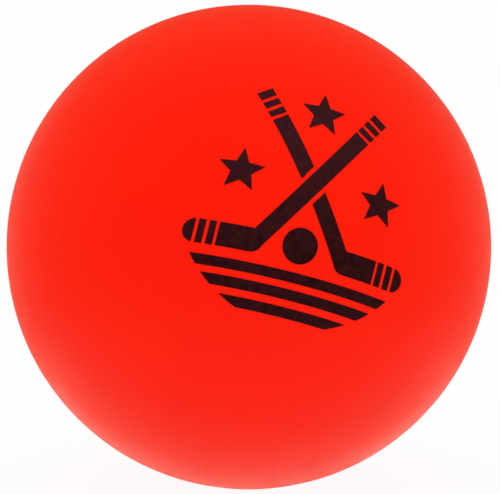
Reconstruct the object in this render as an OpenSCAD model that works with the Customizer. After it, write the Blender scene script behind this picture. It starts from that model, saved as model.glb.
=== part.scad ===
// Hollow low-bounce hockey ball: two welded half shells with a printed emblem on the front one.
// Millimetres. The origin is the ball's centre, +Z is up and the front half faces -Y.

/* [Ball] */
// Outside diameter of the ball
ball_d = 65; // [54:0.5:80]
// Thickness of the shell wall
wall = 5.2; // [4.2:0.1:8]

/* [Seam] */
// Thickness of the locating tongue on the front half
tongue_w = 1.8; // [1.2:0.1:2.4]
// How far the tongue reaches into the rear half
tongue_l = 2.4; // [1:0.1:4]
// Clearance between the tongue and each side of its groove
groove_clearance = 0.1; // [0.05:0.01:0.25]
// Room left beyond the tip of the tongue
groove_end_room = 0.3; // [0.1:0.05:0.8]
// Depth of the V cut round the seam for the weld
weld_depth = 0.8; // [0.5:0.05:1.1]
// Film between the weld and the shells it is bonded to
weld_gap = 0.02; // [0.01:0.01:0.05]

/* [Print place] */
// Diameter of the emblem, measured straight across
print_d = 33; // [26:0.5:44]
// Turn of the emblem from the front towards +X
print_azimuth = 15.2; // [-45:0.1:45]
// Height of the emblem above the equator
print_elevation = 21; // [-40:0.5:40]
// Turn of the emblem in its own plane
print_roll = -17; // [-180:1:180]
// Thickness of the ink film
ink_t = 0.05; // [0.03:0.01:0.2]
// Gap between the ink film and the shell
ink_gap = 0.01; // [0.005:0.005:0.03]

/* [Sticks] */
// Lean of each stick from the upright
stick_lean = 34; // [28:1:40]
// Height of the crossing above the emblem's middle
crossing_y = 1.6; // [0:0.1:3]
// Blank left on the lower stick at each side of the upper one
crossing_gap = 0.6; // [0.3:0.05:1]
// Width of a shaft
shaft_w = 2.2; // [1.4:0.1:2.8]
// Length of a blade from heel to toe centre
blade_l = 7; // [5:0.1:8.4]
// Width of a blade
blade_w = 3; // [2:0.1:3.8]
// How far the heel's round stands past the outer side of the shaft
heel_step = 0.05; // [0.05:0.01:0.3]
// Number of tape lines on each butt and each blade
tape_lines = 3; // [0:1:4]
// Width of a tape line
tape_line_w = 0.45; // [0.25:0.05:0.6]
// Spacing of the tape lines
tape_pitch = 1.3; // [0.9:0.1:1.6]

/* [Stars, ball spot and floor bars] */
// Blank between the sticks and what lies next to them
motif_gap = 1.1; // [0.5:0.1:1.6]
// Diameter over the points of a star
star_d = 6; // [4:0.1:7.4]
// Diameter through the inner corners of a star
star_inner_d = 2.7; // [1.8:0.1:3.6]
// Diameter of the ball spot between the blades
spot_d = 4.6; // [2.4:0.1:5.6]
// Number of floor bars under the blades
floor_bars = 3; // [1:1:4]
// Blank between two floor bars
floor_gap = 0.9; // [0.5:0.1:1.3]
// Blank between the lowest floor bar and the emblem's edge
floor_end = 1.1; // [0.6:0.1:1.6]

/* [Hidden] */
$fn = 256;

ball_r = ball_d / 2;
cavity_r = ball_r - wall;
tongue_r = (ball_r + cavity_r) / 2;
ink_inner_r = ball_r + ink_gap;
ink_outer_r = ink_inner_r + ink_t;
emblem_r = print_d / 2;

// Shift of the heel's centre across the shaft, so that the heel's round runs on from the shaft's outer side
heel_shift = (blade_w - shaft_w) / 2 - heel_step;
heel_shift_x = heel_shift * cos(stick_lean);
heel_shift_y = heel_shift * sin(stick_lean);

// Lengths of a shaft above and below the crossing that take its butt and its blade's toe out to the emblem's edge
butt_run = run_out(crossing_y * cos(stick_lean), crossing_y ^ 2, emblem_r - shaft_w / 2);
heel_run = run_out(blade_l * sin(stick_lean) - crossing_y * cos(stick_lean),
                   (blade_l + heel_shift_x) ^ 2 + (crossing_y + heel_shift_y) ^ 2, emblem_r - blade_w / 2);
heel_x = heel_run * sin(stick_lean) + heel_shift_x;
heel_y = crossing_y + heel_shift_y - heel_run * cos(stick_lean);

// Stars halfway between where they clear both shafts and where they clear the emblem's edge
star_clear = star_d / 2 + motif_gap + shaft_w / 2;
star_edge = emblem_r - star_d / 2 - motif_gap;
top_star_y = (crossing_y + star_clear / sin(stick_lean) + star_edge) / 2;
side_star_x = (star_clear / cos(stick_lean) + star_edge) / 2;

// Ball spot on the level of the blades, or lower where the shafts leave it no room there
spot_clear = spot_d / 2 + motif_gap + shaft_w / 2;
spot_y = min(heel_y - blade_w / 2 + spot_d / 2, crossing_y - spot_clear / sin(stick_lean));

// Floor bars that share the room under the blades and the spot
floor_top = min(heel_y - blade_w / 2, spot_y - spot_d / 2) - motif_gap;
floor_bar_w = (floor_top + emblem_r - floor_end - (floor_bars - 1) * floor_gap) / floor_bars;

// Root of s * s + 2 * half_b * s + start_sq = reach * reach
function run_out(half_b, start_sq, reach) = sqrt(half_b ^ 2 - start_sq + reach ^ 2) - half_b;

// Half shells

// Quarter section of the wall, to be spun about the seam's axis
module wall_section() {
    difference() {
        intersection() {
            circle(ball_r);
            square(ball_r);
        }
        circle(cavity_r);
        weld_section(weld_depth);
    }
}

// Square on its corner at the outer edge of the seam
module weld_section(half_diagonal) {
    translate([ball_r, 0])
        rotate(45)
            square(half_diagonal * sqrt(2), center = true);
}

// Tongue section below the seam, grown sideways and endways into the groove that takes it
module tongue_section(side = 0, end = 0) {
    translate([tongue_r - tongue_w / 2 - side, -tongue_l - end])
        square([tongue_w + 2 * side, tongue_l + end]);
}

// Turns a spun section's top to the front
module facing_front() {
    rotate([90, 0, 0])
        children();
}

module front_half_shell() {
    color([0.98, 0.11, 0.03])
        facing_front()
            rotate_extrude() {
                wall_section();
                tongue_section();
            }
}

module rear_half_shell() {
    color([0.96, 0.10, 0.03])
        facing_front()
            rotate_extrude()
                difference() {
                    mirror([0, 1])
                        wall_section();
                    tongue_section(groove_clearance, groove_end_room);
                }
}

module seam_weld() {
    color([0.92, 0.09, 0.03])
        facing_front()
            rotate_extrude()
                intersection() {
                    circle(ball_r);
                    weld_section(weld_depth - weld_gap * sqrt(2));
                }
}

// Print

// Lays flat artwork on the ball as a film of ink, square to the emblem's axis
module printed() {
    color([0.10, 0.06, 0.07])
        rotate([90 - print_elevation, 0, print_azimuth])
            rotate(print_roll)
                intersection() {
                    ink_film();
                    linear_extrude(ball_d)
                        children();
                }
}

// Thin layer round the ball, with its poles turned away from the emblem
module ink_film() {
    rotate([90, 0, 0])
        difference() {
            sphere(ink_outer_r);
            sphere(ink_inner_r);
        }
}

// Shaft that leans right through the crossing, grown sideways to blank out what it passes over
module shaft(side = 0) {
    translate([0, crossing_y])
        rotate(-stick_lean)
            translate([-shaft_w / 2 - side, -heel_run])
                square([shaft_w + 2 * side, heel_run + butt_run]);
}

// Level blade that runs left from the heel to a round toe
module blade() {
    translate([-heel_x, heel_y]) {
        circle(d = blade_w);
        translate([-blade_l, -blade_w / 2])
            square([blade_l, blade_w]);
        translate([-blade_l, 0])
            circle(d = blade_w);
    }
}

// Blank lines across the butt and across the blade
module tape() {
    for (i = [1 : 1 : tape_lines]) {
        translate([0, crossing_y])
            rotate(-stick_lean)
                translate([0, butt_run - i * tape_pitch])
                    square([shaft_w * 2, tape_line_w], center = true);
        translate([-heel_x - blade_l + (i - 1) * tape_pitch, heel_y])
            square([tape_line_w, blade_w * 2], center = true);
    }
}

module stick() {
    difference() {
        union() {
            shaft();
            blade();
        }
        tape();
    }
}

module print_upper_stick() {
    printed()
        stick();
}

module print_lower_stick() {
    printed()
        difference() {
            mirror([1, 0])
                stick();
            shaft(crossing_gap);
        }
}

// Five-pointed star with one point up
module star() {
    polygon([for (i = [0 : 9]) (i % 2 == 0 ? star_d : star_inner_d) / 2 * [sin(i * 36), cos(i * 36)]]);
}

module print_stars() {
    printed()
        for (place = [[0, top_star_y], [-side_star_x, crossing_y], [side_star_x, crossing_y]])
            translate(place)
                star();
}

module print_ball_spot() {
    printed()
        translate([0, spot_y])
            circle(d = spot_d);
}

// Level bars under the blades, cut to the emblem's round edge
module print_floor_bars() {
    printed()
        intersection() {
            circle(emblem_r);
            for (i = [0 : floor_bars - 1])
                translate([-emblem_r, floor_top - (i + 1) * floor_bar_w - i * floor_gap])
                    square([2 * emblem_r, floor_bar_w]);
        }
}

front_half_shell();
rear_half_shell();
seam_weld();
print_upper_stick();
print_lower_stick();
print_stars();
print_ball_spot();
print_floor_bars();
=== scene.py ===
import math

import bmesh
import bpy
from mathutils import Matrix, Vector


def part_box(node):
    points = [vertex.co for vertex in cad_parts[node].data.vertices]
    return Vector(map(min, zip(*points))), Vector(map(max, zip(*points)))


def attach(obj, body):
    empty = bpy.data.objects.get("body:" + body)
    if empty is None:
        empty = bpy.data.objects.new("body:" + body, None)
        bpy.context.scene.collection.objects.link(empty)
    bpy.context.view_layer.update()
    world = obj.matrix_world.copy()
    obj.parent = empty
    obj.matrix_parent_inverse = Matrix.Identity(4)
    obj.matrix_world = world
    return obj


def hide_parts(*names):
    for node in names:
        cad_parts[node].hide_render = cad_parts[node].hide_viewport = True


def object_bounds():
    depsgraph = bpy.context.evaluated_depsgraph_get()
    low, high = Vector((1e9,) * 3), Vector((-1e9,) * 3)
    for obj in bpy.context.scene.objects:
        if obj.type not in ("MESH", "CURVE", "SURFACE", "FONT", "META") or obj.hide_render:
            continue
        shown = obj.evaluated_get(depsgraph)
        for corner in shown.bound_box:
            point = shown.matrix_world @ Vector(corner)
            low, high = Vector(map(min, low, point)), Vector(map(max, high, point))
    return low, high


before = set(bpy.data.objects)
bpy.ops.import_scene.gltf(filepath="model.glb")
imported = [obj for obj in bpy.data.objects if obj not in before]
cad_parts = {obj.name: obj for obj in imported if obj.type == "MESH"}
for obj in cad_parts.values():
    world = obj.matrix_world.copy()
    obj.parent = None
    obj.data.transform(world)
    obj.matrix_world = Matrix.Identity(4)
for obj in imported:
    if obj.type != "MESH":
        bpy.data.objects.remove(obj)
cad_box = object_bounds()

# Front half shell
# One of the two bowls of soft PVC that make the hollow ball, injection moulded to an even wall.
# A tongue round its rim locates it in the rear half, and a bevel outside the tongue leaves the weld room.
front_low, front_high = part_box("front_half_shell")
BALL_RADIUS = -front_low.y
TONGUE_LENGTH = front_high.y
WALL = 0.0052
TONGUE_WIDTH = 0.0018
TONGUE_CHAMFER = 0.0003
WELD_DEPTH = 0.0008
CAVITY_RADIUS = BALL_RADIUS - WALL
TONGUE_RADIUS = BALL_RADIUS - WALL / 2
OUTSIDE_STEPS = 96
INSIDE_STEPS = 48
ROUND_STEPS = 192
START_SIZE = 0.001
MERGE_DISTANCE = 0.000001
SMOOTH_ANGLE = math.radians(30)


def start_outline(name, point):
    """A new piece that is a single point, left in edit mode to be drawn on."""
    bpy.ops.object.select_all(action="DESELECT")
    bpy.ops.mesh.primitive_plane_add(size=START_SIZE, location=(point[0], point[1], 0))
    bpy.ops.object.transform_apply(location=True, rotation=True, scale=True)
    piece = bpy.context.object
    piece.name = name
    piece.data.name = name
    bpy.ops.object.mode_set(mode="EDIT")
    bpy.ops.mesh.select_all(action="SELECT")
    bpy.ops.mesh.merge(type="CENTER")
    return piece


def draw_lines(*points):
    """Straight edges from the end of the outline, which is the first point, to each next point."""
    for start, end in zip(points, points[1:]):
        step = (end[0] - start[0], end[1] - start[1], 0)
        bpy.ops.mesh.extrude_region_move(TRANSFORM_OT_translate={"value": step})


def draw_arc(centre, angle, steps):
    """A round stretch from the end of the outline, anticlockwise for a positive angle."""
    bpy.ops.mesh.spin(steps=steps, angle=-angle, center=(centre[0], centre[1], 0), axis=(0, 0, 1))


def spin_about_seam_axis(steps):
    """Turns the drawn section right round the ball's front-to-back axis and closes it."""
    bpy.ops.mesh.select_all(action="SELECT")
    bpy.ops.mesh.spin(steps=steps, angle=math.tau, center=(0, 0, 0), axis=(0, 1, 0))
    bpy.ops.mesh.select_all(action="SELECT")
    bpy.ops.mesh.remove_doubles(threshold=MERGE_DISTANCE)
    bpy.ops.mesh.normals_make_consistent(inside=False)
    bpy.ops.object.mode_set(mode="OBJECT")
    bpy.ops.object.shade_smooth_by_angle(angle=SMOOTH_ANGLE)


def bevel_reach(depth):
    """How far from the seam a 45 degree bevel of that depth meets the outside of the ball."""
    foot = BALL_RADIUS - depth
    return (math.sqrt(2 * BALL_RADIUS ** 2 - foot ** 2) - foot) / 2


bevel_angle = math.asin(bevel_reach(WELD_DEPTH) / BALL_RADIUS)
outside_angle = math.pi / 2 - bevel_angle
bevel_edge_x = BALL_RADIUS * math.cos(bevel_angle)
bevel_edge_y = BALL_RADIUS * math.sin(bevel_angle)
bevel_foot_x = BALL_RADIUS - WELD_DEPTH
tongue_outer = TONGUE_RADIUS + TONGUE_WIDTH / 2
tongue_inner = TONGUE_RADIUS - TONGUE_WIDTH / 2

front_half = start_outline("front_half_shell_moulding", (0, -BALL_RADIUS))
draw_arc((0, 0), outside_angle, OUTSIDE_STEPS)
draw_lines(
    (bevel_edge_x, -bevel_edge_y),
    (bevel_foot_x, 0),
    (tongue_outer, 0),
    (tongue_outer, TONGUE_LENGTH - TONGUE_CHAMFER),
    (tongue_outer - TONGUE_CHAMFER, TONGUE_LENGTH),
    (tongue_inner + TONGUE_CHAMFER, TONGUE_LENGTH),
    (tongue_inner, TONGUE_LENGTH - TONGUE_CHAMFER),
    (tongue_inner, 0),
    (CAVITY_RADIUS, 0),
)
draw_arc((0, 0), -math.pi / 2, INSIDE_STEPS)
spin_about_seam_axis(ROUND_STEPS)

PVC_RED = (0.995, 0.0098, 0.0005, 1)
PVC_DEEP_RED = (0.975, 0.0086, 0.0004, 1)
PVC_SPECK = (0.945, 0.0072, 0.0004, 1)
PVC_ROUGHNESS = (0.49, 0.55)
PVC_SPECULAR = 0.037
PVC_SHEEN = 0.055
PVC_SHEEN_ROUGHNESS = 0.45
PVC_SHEEN_TINT = (1, 0.95, 0.15, 1)
PVC_PATTERN_RANGE = (0.35, 0.65)
PVC_CLOUD_SCALE = 70
PVC_CLOUD_DETAIL = 3
PVC_PATCH_SCALE = 420
PVC_PATCH_DETAIL = 2
PVC_SPECK_SCALE = 500
PVC_SPECK_EDGE = (0.02, 0.17)
PVC_GRAIN_SCALE = 5200
PVC_GRAIN_DETAIL = 2
PVC_GRAIN_DEPTH = 0.00002
PVC_GRAIN_STRENGTH = 0.5


def new_material(name):
    """A material, its node tree and shader, and the piece's own coordinates to place patterns by."""
    material = bpy.data.materials.new(name)
    material.use_nodes = True
    tree = material.node_tree
    place = tree.nodes.new("ShaderNodeTexCoord").outputs["Object"]
    return material, tree, tree.nodes["Principled BSDF"], place


def noise(tree, place, scale, detail):
    """A cloudy pattern from 0 to 1 with about that many clouds in a metre."""
    node = tree.nodes.new("ShaderNodeTexNoise")
    node.inputs["Scale"].default_value = scale
    node.inputs["Detail"].default_value = detail
    tree.links.new(place, node.inputs["Vector"])
    return node.outputs["Fac"]


def spread(tree, value, source, target):
    """Takes a pattern from one range of numbers to another, and holds it there."""
    node = tree.nodes.new("ShaderNodeMapRange")
    node.inputs["From Min"].default_value = source[0]
    node.inputs["From Max"].default_value = source[1]
    node.inputs["To Min"].default_value = target[0]
    node.inputs["To Max"].default_value = target[1]
    tree.links.new(value, node.inputs["Value"])
    return node.outputs["Result"]


def blend_colours(tree, share, first, second):
    """Mixes two colours by a pattern."""
    node = tree.nodes.new("ShaderNodeMix")
    node.data_type = "RGBA"
    tree.links.new(share, node.inputs["Factor"])
    for socket, colour in (("A_Color", first), ("B_Color", second)):
        entry = next(i for i in node.inputs if i.identifier == socket)
        if isinstance(colour, tuple):
            entry.default_value = colour
        else:
            tree.links.new(colour, entry)
    return next(o for o in node.outputs if o.identifier == "Result_Color")


def add_grain(tree, shader, height, strength, depth):
    """Raises the surface by a pattern, up to that depth."""
    node = tree.nodes.new("ShaderNodeBump")
    node.inputs["Strength"].default_value = strength
    node.inputs["Distance"].default_value = depth
    tree.links.new(height, node.inputs["Height"])
    tree.links.new(node.outputs["Normal"], shader.inputs["Normal"])


def specks(tree, place, scale, edge):
    """Small round spots, about that many in a metre, that fade out from 1 over a range of distance."""
    node = tree.nodes.new("ShaderNodeTexVoronoi")
    node.inputs["Scale"].default_value = scale
    tree.links.new(place, node.inputs["Vector"])
    return spread(tree, node.outputs["Distance"], edge, (1, 0))


def set_pvc_skin(shader):
    """The faint gloss of soft PVC, and the haze that pales it a little where it is seen edge on."""
    shader.inputs["Specular IOR Level"].default_value = PVC_SPECULAR
    shader.inputs["Sheen Weight"].default_value = PVC_SHEEN
    shader.inputs["Sheen Roughness"].default_value = PVC_SHEEN_ROUGHNESS
    shader.inputs["Sheen Tint"].default_value = PVC_SHEEN_TINT


def moulded_pvc(name):
    """Solid-coloured soft PVC with a matt moulded skin, faintly clouded, with a few specks in it."""
    material, tree, shader, place = new_material(name)
    clouds = noise(tree, place, PVC_CLOUD_SCALE, PVC_CLOUD_DETAIL)
    clouds = spread(tree, clouds, PVC_PATTERN_RANGE, (0, 1))
    reds = blend_colours(tree, clouds, PVC_DEEP_RED, PVC_RED)
    spots = specks(tree, place, PVC_SPECK_SCALE, PVC_SPECK_EDGE)
    tree.links.new(blend_colours(tree, spots, reds, PVC_SPECK), shader.inputs["Base Color"])
    patches = noise(tree, place, PVC_PATCH_SCALE, PVC_PATCH_DETAIL)
    tree.links.new(spread(tree, patches, PVC_PATTERN_RANGE, PVC_ROUGHNESS), shader.inputs["Roughness"])
    set_pvc_skin(shader)
    grain = noise(tree, place, PVC_GRAIN_SCALE, PVC_GRAIN_DETAIL)
    add_grain(tree, shader, grain, PVC_GRAIN_STRENGTH, PVC_GRAIN_DEPTH)
    return material


shell_pvc = moulded_pvc("shell_pvc")
front_half.data.materials.append(shell_pvc)
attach(front_half, "root")
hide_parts("front_half_shell")

# Rear half shell
# The other bowl of the ball, moulded in the same soft PVC to the same wall.
# A groove round its rim takes the front half's tongue with a little room at the sides and the end.
GROOVE_CLEARANCE = 0.0001
GROOVE_END_ROOM = 0.0003
groove_outer = tongue_outer + GROOVE_CLEARANCE
groove_inner = tongue_inner - GROOVE_CLEARANCE
groove_depth = TONGUE_LENGTH + GROOVE_END_ROOM

rear_half = start_outline("rear_half_shell_moulding", (0, BALL_RADIUS))
draw_arc((0, 0), -outside_angle, OUTSIDE_STEPS)
draw_lines(
    (bevel_edge_x, bevel_edge_y),
    (bevel_foot_x, 0),
    (groove_outer, 0),
    (groove_outer, groove_depth),
    (groove_inner, groove_depth),
    (groove_inner, 0),
    (CAVITY_RADIUS, 0),
)
draw_arc((0, 0), math.pi / 2, INSIDE_STEPS)
spin_about_seam_axis(ROUND_STEPS)
rear_half.data.materials.append(shell_pvc)
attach(rear_half, "root")
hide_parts("rear_half_shell")

# Seam weld
# A bead of the same PVC that fills the V cut where the two halves meet and bonds them together.
# It is trimmed and buffed flush with the ball, which leaves faint lines and ripples along it.
WELD_GAP = 0.00002
WELD_STEPS = 10
WELD_ROUND_STEPS = 576
WELD_RIPPLE = 0.00002
WELD_RIPPLE_SIZE = 0.0015
weld_depth = WELD_DEPTH - WELD_GAP * math.sqrt(2)
weld_angle = math.asin(bevel_reach(weld_depth) / BALL_RADIUS)
weld_edge = (BALL_RADIUS * math.cos(weld_angle), -BALL_RADIUS * math.sin(weld_angle))

seam_weld = start_outline("seam_weld_bead", weld_edge)
draw_arc((0, 0), 2 * weld_angle, WELD_STEPS)
draw_lines((weld_edge[0], -weld_edge[1]), (BALL_RADIUS - weld_depth, 0), weld_edge)
spin_about_seam_axis(WELD_ROUND_STEPS)

outer_face = seam_weld.vertex_groups.new(name="outer_face")
outer_reach = BALL_RADIUS - MERGE_DISTANCE
edge_reach = -weld_edge[1] - MERGE_DISTANCE
for vertex in seam_weld.data.vertices:
    if vertex.co.length > outer_reach and abs(vertex.co.y) < edge_reach:
        outer_face.add([vertex.index], 1, "REPLACE")
ripple_pattern = bpy.data.textures.new("weld_ripple", "CLOUDS")
ripple_pattern.noise_scale = WELD_RIPPLE_SIZE
ripple = seam_weld.modifiers.new("ripple", "DISPLACE")
ripple.texture = ripple_pattern
ripple.texture_coords = "LOCAL"
ripple.strength = WELD_RIPPLE
ripple.mid_level = 1
ripple.vertex_group = outer_face.name
bpy.context.view_layer.objects.active = seam_weld
bpy.ops.object.modifier_apply(modifier=ripple.name)

WELD_RED = (0.960, 0.0088, 0.0005, 1)
WELD_DEEP_RED = (0.845, 0.0060, 0.0004, 1)
WELD_ROUGHNESS = (0.40, 0.62)
BUFF_SCALE = (60, 9000, 60)
BUFF_DETAIL = 2
BUFF_STRENGTH = 0.6
BUFF_DEPTH = 0.00003


def buffed_weld_pvc(name):
    """The same PVC, buffed along the seam, which leaves fine lines of deeper and lighter red."""
    material, tree, shader, place = new_material(name)
    stretch = tree.nodes.new("ShaderNodeMapping")
    stretch.inputs["Scale"].default_value = BUFF_SCALE
    tree.links.new(place, stretch.inputs["Vector"])
    lines = noise(tree, stretch.outputs["Vector"], 1, BUFF_DETAIL)
    lines = spread(tree, lines, PVC_PATTERN_RANGE, (0, 1))
    tree.links.new(blend_colours(tree, lines, WELD_DEEP_RED, WELD_RED), shader.inputs["Base Color"])
    tree.links.new(spread(tree, lines, (0, 1), WELD_ROUGHNESS), shader.inputs["Roughness"])
    set_pvc_skin(shader)
    add_grain(tree, shader, lines, BUFF_STRENGTH, BUFF_DEPTH)
    return material


weld_pvc = buffed_weld_pvc("weld_pvc")
seam_weld.data.materials.append(weld_pvc)
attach(seam_weld, "root")
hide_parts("seam_weld")

# Upper stick of the emblem
# A hockey stick with a taped butt and a taped blade, the one of the crossed pair that lies on top.
# It is a film of matt ink, pressed on the front half from a soft pad, so it follows the ball's curve.
EMBLEM_AZIMUTH = math.radians(15.2)
EMBLEM_ELEVATION = math.radians(21)
EMBLEM_ROLL = math.radians(-17)
EMBLEM_RADIUS = 0.0165
INK_THICKNESS = 0.00005
INK_GAP = 0.00001
INK_CELL = 0.00075
STICK_LEAN = math.radians(34)
CROSSING_Y = 0.0016
SHAFT_WIDTH = 0.0022
BLADE_LENGTH = 0.007
BLADE_WIDTH = 0.003
HEEL_STEP = 0.00005
TAPE_LINES = 3
TAPE_LINE_WIDTH = 0.00045
TAPE_PITCH = 0.0013
HEEL_STEPS = 16
TOE_STEPS = 24


def run_out(start, direction, reach):
    """How far a straight run goes on before it is that reach from the emblem's middle."""
    half_b = start.dot(direction)
    return math.sqrt(half_b ** 2 - start.length_squared + reach ** 2) - half_b


def select_faces(wanted):
    """Selects only the faces that the test picks, in edit mode."""
    bpy.ops.mesh.select_mode(type="FACE")
    bpy.ops.mesh.select_all(action="DESELECT")
    mesh = bmesh.from_edit_mesh(bpy.context.object.data)
    for face in mesh.faces:
        face.select_set(wanted(face))
    bmesh.update_edit_mesh(bpy.context.object.data)


def cut_across(point, across, **clear):
    """Cuts all of the flat artwork along the straight line through a point, square to a direction."""
    bpy.ops.mesh.select_mode(type="VERT")
    bpy.ops.mesh.select_all(action="SELECT")
    bpy.ops.mesh.bisect(plane_co=(point[0], point[1], 0), plane_no=(across[0], across[1], 0), **clear)


def cut_into_cells():
    """Cuts flat artwork into small cells, so that it can bend to the ball."""
    cells = math.ceil(EMBLEM_RADIUS / INK_CELL)
    for i in range(-cells, cells + 1):
        cut_across((i * INK_CELL, 0), (1, 0))
        cut_across((0, i * INK_CELL), (0, 1))


def clear_band(middle, across, width):
    """Takes the ink out of a straight band through the artwork."""
    for edge in (-width / 2, width / 2):
        cut_across(middle + across * edge, across)
    select_faces(lambda face: abs((face.calc_center_median().xy - middle).dot(across)) < width / 2)
    bpy.ops.mesh.delete(type="FACE")


def lay_on_ball(piece):
    """Sets flat artwork on the ball, square to the emblem's axis, and gives it the ink's thickness."""
    select_faces(lambda face: face.normal.z < 0)
    bpy.ops.mesh.flip_normals()
    bpy.ops.object.mode_set(mode="OBJECT")
    for vertex in piece.data.vertices:
        vertex.co.z = math.sqrt((BALL_RADIUS + INK_GAP) ** 2 - vertex.co.x ** 2 - vertex.co.y ** 2)
    film = piece.modifiers.new("film", "SOLIDIFY")
    film.thickness = INK_THICKNESS
    film.offset = 1
    bpy.context.view_layer.objects.active = piece
    bpy.ops.object.modifier_apply(modifier=film.name)
    turn = Matrix.Rotation(EMBLEM_AZIMUTH, 4, "Z")
    tilt = Matrix.Rotation(math.pi / 2 - EMBLEM_ELEVATION, 4, "X")
    roll = Matrix.Rotation(EMBLEM_ROLL, 4, "Z")
    piece.matrix_world = turn @ tilt @ roll
    bpy.ops.object.transform_apply(location=True, rotation=True, scale=True)
    bpy.ops.object.shade_smooth_by_angle(angle=SMOOTH_ANGLE)


crossing = Vector((0, CROSSING_Y))
along_shaft = Vector((math.sin(STICK_LEAN), math.cos(STICK_LEAN)))
across_shaft = Vector((math.cos(STICK_LEAN), -math.sin(STICK_LEAN)))
along_blade = Vector((1, 0))
half_shaft = across_shaft * SHAFT_WIDTH / 2
half_blade = Vector((0, BLADE_WIDTH / 2))
butt = crossing + along_shaft * run_out(crossing, along_shaft, EMBLEM_RADIUS - SHAFT_WIDTH / 2)
heel_side = BLADE_WIDTH / 2 - HEEL_STEP
heel_line = crossing + half_shaft - across_shaft * heel_side
toe_line = heel_line - along_blade * BLADE_LENGTH
heel = heel_line - along_shaft * run_out(toe_line, -along_shaft, EMBLEM_RADIUS - BLADE_WIDTH / 2)
toe = heel - along_blade * BLADE_LENGTH
heel_rise = math.sqrt(half_blade.length_squared - heel_side ** 2)
heel_start = across_shaft * heel_side + along_shaft * heel_rise
heel_angle = math.atan2(heel_start.y, heel_start.x) + math.pi / 2
throat_run = (butt.y - half_shaft.y - heel.y - half_blade.y) / along_shaft.y
throat = butt - half_shaft - along_shaft * throat_run

upper_stick = start_outline("print_upper_stick_ink", butt - half_shaft)
draw_lines(butt - half_shaft, butt + half_shaft, heel + heel_start)
draw_arc(heel, -heel_angle, HEEL_STEPS)
draw_lines(heel - half_blade, toe - half_blade)
draw_arc(toe, -math.pi, TOE_STEPS)
draw_lines(toe + half_blade, throat, butt - half_shaft)
bpy.ops.mesh.select_all(action="SELECT")
bpy.ops.mesh.remove_doubles(threshold=MERGE_DISTANCE)
bpy.ops.mesh.edge_face_add()
cut_into_cells()
for i in range(TAPE_LINES):
    clear_band(butt - along_shaft * TAPE_PITCH * (i + 1), along_shaft, TAPE_LINE_WIDTH)
    clear_band(toe + along_blade * TAPE_PITCH * i, along_blade, TAPE_LINE_WIDTH)
bpy.ops.object.mode_set(mode="OBJECT")
flat_stick = upper_stick.data.copy()
bpy.ops.object.mode_set(mode="EDIT")
lay_on_ball(upper_stick)

INK_BLACK = (0.014, 0.0017, 0.0025, 1)
INK_THIN = (0.034, 0.0043, 0.0060, 1)
# The grey that the ink turns towards the top of the ball is a painted highlight, standing in for the
# gloss of light from above.
INK_PAINTED_GLOSS_GREY = (0.047, 0.0110, 0.0138, 1)
INK_PAINTED_GLOSS_HEIGHTS = (0.004, 0.019)
INK_PAINTED_GLOSS_SHARE = 0.6
INK_PINHOLE = (0.200, 0.0080, 0.0080, 1)
INK_ROUGHNESS = (0.50, 0.66)
INK_SPECULAR = 0.02
INK_MOTTLE_SCALE = 1000
INK_MOTTLE_DETAIL = 3
INK_MOTTLE_RANGE = (0.30, 0.70)
INK_PINHOLE_RANGE = (0.74, 0.80)
INK_GRAIN_SCALE = 5200
INK_GRAIN_DETAIL = 1
INK_GRAIN_STRENGTH = 0.4
INK_GRAIN_DEPTH = 0.00001


def pad_print_ink(name):
    """Near-black ink, greyed higher up by a painted highlight that stands in for gloss, that lets red
    through where it is thin and at a few pinholes.
    """
    material, tree, shader, place = new_material(name)
    mottle = noise(tree, place, INK_MOTTLE_SCALE, INK_MOTTLE_DETAIL)
    mottle = spread(tree, mottle, INK_MOTTLE_RANGE, (0, 1))
    film = blend_colours(tree, mottle, INK_BLACK, INK_THIN)
    # Painted highlight: the ink is greyed more the higher it lies on the ball.
    axes = tree.nodes.new("ShaderNodeSeparateXYZ")
    tree.links.new(place, axes.inputs["Vector"])
    painted_gloss = spread(tree, axes.outputs["Z"], INK_PAINTED_GLOSS_HEIGHTS, (0, INK_PAINTED_GLOSS_SHARE))
    film = blend_colours(tree, painted_gloss, film, INK_PAINTED_GLOSS_GREY)
    grain = noise(tree, place, INK_GRAIN_SCALE, INK_GRAIN_DETAIL)
    pinholes = spread(tree, grain, INK_PINHOLE_RANGE, (0, 1))
    tree.links.new(blend_colours(tree, pinholes, film, INK_PINHOLE), shader.inputs["Base Color"])
    tree.links.new(spread(tree, mottle, (0, 1), INK_ROUGHNESS), shader.inputs["Roughness"])
    shader.inputs["Specular IOR Level"].default_value = INK_SPECULAR
    add_grain(tree, shader, grain, INK_GRAIN_STRENGTH, INK_GRAIN_DEPTH)
    return material


ink = pad_print_ink("ink")


def fix_print(piece, node):
    """Inks a printed piece and puts it in its node's place on the ball."""
    piece.data.materials.append(ink)
    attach(piece, "root")
    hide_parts(node)


fix_print(upper_stick, "print_upper_stick")

# Lower stick of the emblem
# The other stick of the crossed pair, a mirror copy of the upper one in the same film of ink.
# A blank beside the upper shaft parts the two, so that this one seems to pass behind.
CROSSING_GAP = 0.0006

lower_stick = bpy.data.objects.new("print_lower_stick_ink", flat_stick)
bpy.context.scene.collection.objects.link(lower_stick)
bpy.ops.object.select_all(action="DESELECT")
lower_stick.select_set(True)
bpy.context.view_layer.objects.active = lower_stick
flat_stick.name = lower_stick.name
bpy.ops.object.mode_set(mode="EDIT")
bpy.ops.mesh.select_all(action="SELECT")
bpy.ops.transform.mirror(
    orient_type="GLOBAL",
    constraint_axis=(True, False, False),
    center_override=(0, 0, 0),
)
clear_band(crossing, across_shaft, SHAFT_WIDTH + 2 * CROSSING_GAP)
lay_on_ball(lower_stick)
fix_print(lower_stick, "print_lower_stick")

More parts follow.
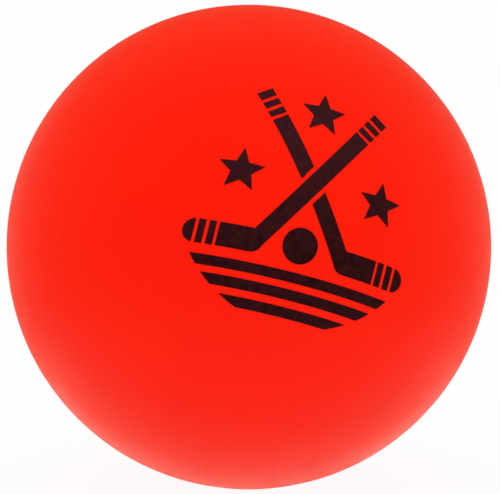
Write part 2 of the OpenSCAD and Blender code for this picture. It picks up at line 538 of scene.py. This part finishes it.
# Stars of the emblem
# Three five-pointed stars in the same ink, one above the crossed sticks and one at each side of them.
# Each stands midway between the shafts and the emblem's round edge.
MOTIF_GAP = 0.0011
STAR_RADIUS = 0.003
STAR_INNER_RADIUS = 0.00135
STAR_POINTS = 5
star_clear = STAR_RADIUS + MOTIF_GAP + SHAFT_WIDTH / 2
star_edge = EMBLEM_RADIUS - STAR_RADIUS - MOTIF_GAP
top_star_y = (CROSSING_Y + star_clear / math.sin(STICK_LEAN) + star_edge) / 2
side_star_x = (star_clear / math.cos(STICK_LEAN) + star_edge) / 2

bpy.ops.object.select_all(action="DESELECT")
bpy.ops.mesh.primitive_circle_add(vertices=2 * STAR_POINTS, radius=STAR_RADIUS, fill_type="NGON")
stars = bpy.context.object
stars.name = "print_stars_ink"
bpy.ops.object.mode_set(mode="EDIT")
bpy.ops.mesh.select_mode(type="VERT")
bpy.ops.mesh.select_all(action="DESELECT")
star_mesh = bmesh.from_edit_mesh(stars.data)
for corner in star_mesh.verts:
    turn_share = math.atan2(corner.co.x, corner.co.y) * STAR_POINTS / math.pi
    corner.select_set(round(turn_share) % 2 == 1)
bmesh.update_edit_mesh(stars.data)
inner_share = STAR_INNER_RADIUS / STAR_RADIUS
bpy.ops.transform.resize(value=(inner_share, inner_share, 1), center_override=(0, 0, 0))
bpy.ops.mesh.select_all(action="SELECT")
bpy.ops.transform.translate(value=(0, top_star_y, 0))
side_steps = ((-side_star_x, CROSSING_Y - top_star_y, 0), (2 * side_star_x, 0, 0))
for step in side_steps:
    bpy.ops.mesh.duplicate_move(TRANSFORM_OT_translate={"value": step})
cut_into_cells()
lay_on_ball(stars)
fix_print(stars, "print_stars")

# Ball spot of the emblem
# A round spot of the same ink between the two blades, for the ball in play.
# It stands on the level of the blades, or lower where the shafts leave it no room there.
SPOT_RADIUS = 0.0023
SPOT_STEPS = 72
spot_clear = SPOT_RADIUS + MOTIF_GAP + SHAFT_WIDTH / 2
blade_bottom = heel.y - BLADE_WIDTH / 2
spot_y = min(blade_bottom + SPOT_RADIUS, CROSSING_Y - spot_clear / math.sin(STICK_LEAN))

bpy.ops.object.select_all(action="DESELECT")
bpy.ops.mesh.primitive_circle_add(vertices=SPOT_STEPS, radius=SPOT_RADIUS, fill_type="NGON")
spot = bpy.context.object
spot.name = "print_ball_spot_ink"
bpy.ops.object.mode_set(mode="EDIT")
bpy.ops.mesh.select_all(action="SELECT")
bpy.ops.transform.translate(value=(0, spot_y, 0))
cut_into_cells()
lay_on_ball(spot)
fix_print(spot, "print_ball_spot")

# Floor bars of the emblem
# Level bars of the same ink under the blades, for the rink's floor, cut to the emblem's round edge.
# They share the room that is left there evenly.
FLOOR_BARS = 3
FLOOR_GAP = 0.0009
FLOOR_END = 0.0011
EDGE_STEPS = 256
floor_top = min(blade_bottom, spot_y - SPOT_RADIUS) - MOTIF_GAP
floor_bottom = FLOOR_END - EMBLEM_RADIUS
floor_bar_width = (floor_top - floor_bottom - (FLOOR_BARS - 1) * FLOOR_GAP) / FLOOR_BARS
upward = Vector((0, 1))

bpy.ops.object.select_all(action="DESELECT")
bpy.ops.mesh.primitive_circle_add(vertices=EDGE_STEPS, radius=EMBLEM_RADIUS, fill_type="NGON")
bars = bpy.context.object
bars.name = "print_floor_bars_ink"
bpy.ops.object.mode_set(mode="EDIT")
cut_across((0, floor_top), upward, clear_outer=True)
cut_across((0, floor_bottom), upward, clear_inner=True)
cut_into_cells()
for i in range(1, FLOOR_BARS):
    gap_middle = floor_top - i * (floor_bar_width + FLOOR_GAP) + FLOOR_GAP / 2
    clear_band(Vector((0, gap_middle)), upward, FLOOR_GAP)
lay_on_ball(bars)
fix_print(bars, "print_floor_bars")

# Studio floor
# A plain white table that glows evenly, so that the ball is lit from under as well.
# It keeps the ball's soft shadow, and to the camera it is close to white.
FLOOR_SIZE = 8
FLOOR_WHITE = (0.9, 0.9, 0.9, 1)
FLOOR_GLOW_SHARE = 0.85
FLOOR_SEEN_SHARE = 0.92

bpy.ops.object.select_all(action="DESELECT")
bpy.ops.mesh.primitive_plane_add(size=FLOOR_SIZE, location=(0, 0, cad_box[0][2]))
floor = bpy.context.object
floor.name = "studio_floor"


def seen_directly(tree):
    """1 for what the camera, a reflection or a clear material shows, and 0 for light on the object."""
    path = tree.nodes.new("ShaderNodeLightPath")
    total = path.outputs["Is Camera Ray"]
    for name in ("Is Glossy Ray", "Is Transmission Ray"):
        either = tree.nodes.new("ShaderNodeMath")
        either.operation = "MAXIMUM"
        tree.links.new(total, either.inputs[0])
        tree.links.new(path.outputs[name], either.inputs[1])
        total = either.outputs[0]
    return total


floor_material = bpy.data.materials.new("studio_floor")
floor_material.use_nodes = True
tree = floor_material.node_tree
tree.nodes.remove(tree.nodes["Principled BSDF"])
paint = tree.nodes.new("ShaderNodeBsdfDiffuse")
paint.inputs["Color"].default_value = FLOOR_WHITE
glow = tree.nodes.new("ShaderNodeEmission")
mix = tree.nodes.new("ShaderNodeMixShader")
share = spread(tree, seen_directly(tree), (0, 1), (FLOOR_GLOW_SHARE, FLOOR_SEEN_SHARE))
tree.links.new(share, mix.inputs["Fac"])
tree.links.new(paint.outputs["BSDF"], mix.inputs[1])
tree.links.new(glow.outputs["Emission"], mix.inputs[2])
tree.links.new(mix.outputs["Shader"], tree.nodes["Material Output"].inputs["Surface"])
floor.data.materials.append(floor_material)

# Studio light
# Even white surroundings and a large soft lamp overhead, which gives the ball its soft shadow.
# Two more things meet only the ball's gloss: a small, slightly warm light pad under its front makes its
# lower rim paler, and a dark card up behind it makes its upper rim deeper.
ROOM_WHITE = (1, 1, 1, 1)
ROOM_LEVEL = 0.98
LAMP_HEIGHT = 0.7
LAMP_SIZE = 0.6
LAMP_POWER = 0.4
PAD_SIZE = 0.16
PAD_POWER = 0.112
PAD_TINT = (1, 0.93, 0.82)
PAD_FORWARD = 0.04
PAD_RISE = 0.0001
CARD_BLACK = (0.02, 0.02, 0.02, 1)
CARD_SIZE = (1.8, 1.0)
CARD_DISTANCE = 0.5
CARD_ELEVATION = math.radians(56)

world = bpy.data.worlds.new("studio")
bpy.context.scene.world = world
world.use_nodes = True
tree = world.node_tree
room = tree.nodes["Background"]
level = spread(tree, seen_directly(tree), (0, 1), (ROOM_LEVEL, 1))
room.inputs["Color"].default_value = ROOM_WHITE
tree.links.new(level, room.inputs["Strength"])


def set_lamp(name, place, facing, size, power):
    """A round soft lamp over or under the ball that the camera doesn't see."""
    bpy.ops.object.light_add(type="AREA", location=place, rotation=(facing, 0, 0))
    lamp = bpy.context.object
    lamp.name = name
    lamp.data.shape = "DISK"
    lamp.data.size = size
    lamp.data.energy = power
    lamp.visible_camera = False
    return lamp


softbox = set_lamp("overhead_softbox", (0, 0, LAMP_HEIGHT), 0, LAMP_SIZE, LAMP_POWER)
softbox.visible_glossy = False
pad_place = (0, -PAD_FORWARD, cad_box[0][2] + PAD_RISE)
pad = set_lamp("light_pad", pad_place, math.pi, PAD_SIZE, PAD_POWER)
pad.data.color = PAD_TINT
pad.visible_diffuse = False
pad.data.cycles.use_multiple_importance_sampling = False

bpy.ops.object.select_all(action="DESELECT")
card_place = Vector((0, math.cos(CARD_ELEVATION), math.sin(CARD_ELEVATION))) * CARD_DISTANCE
card_turn = (math.pi / 2 + CARD_ELEVATION, 0, 0)
bpy.ops.mesh.primitive_plane_add(size=1, location=card_place, rotation=card_turn)
card = bpy.context.object
card.name = "dark_card"
card.scale = (*CARD_SIZE, 1)
card.visible_camera = False
card.visible_diffuse = False
card.visible_transmission = False
card.visible_shadow = False
card_material = bpy.data.materials.new("dark_card")
card_material.use_nodes = True
card_paint = card_material.node_tree.nodes["Principled BSDF"]
card_paint.inputs["Base Color"].default_value = CARD_BLACK
card.data.materials.append(card_material)

# Camera
# A long lens at the photograph's height above the ball, so the ball is seen with little perspective.
# It is shifted to put the ball where it lies there, in pixels from the frame's upper left corner.
PHOTO_WIDTH = 500
PHOTO_HEIGHT = 494
BALL_CENTRE_PIXEL = (248.9, 247.0)
BALL_RADIUS_PIXEL = 242.4
VIEW_ELEVATION = math.radians(10)
VIEW_DISTANCE = 20 * BALL_RADIUS
focal_pixels = BALL_RADIUS_PIXEL * math.sqrt(VIEW_DISTANCE ** 2 - BALL_RADIUS ** 2) / BALL_RADIUS

view_place = Vector((0, -math.cos(VIEW_ELEVATION), math.sin(VIEW_ELEVATION))) * VIEW_DISTANCE
bpy.ops.object.camera_add(location=view_place, rotation=(math.pi / 2 - VIEW_ELEVATION, 0, 0))
camera = bpy.context.object
camera.data.lens = focal_pixels * camera.data.sensor_width / PHOTO_WIDTH
camera.data.shift_x = (PHOTO_WIDTH / 2 - BALL_CENTRE_PIXEL[0]) / PHOTO_WIDTH
camera.data.shift_y = (BALL_CENTRE_PIXEL[1] - PHOTO_HEIGHT / 2) / PHOTO_WIDTH
bpy.context.scene.camera = camera
bpy.context.scene.view_settings.view_transform = "Standard"
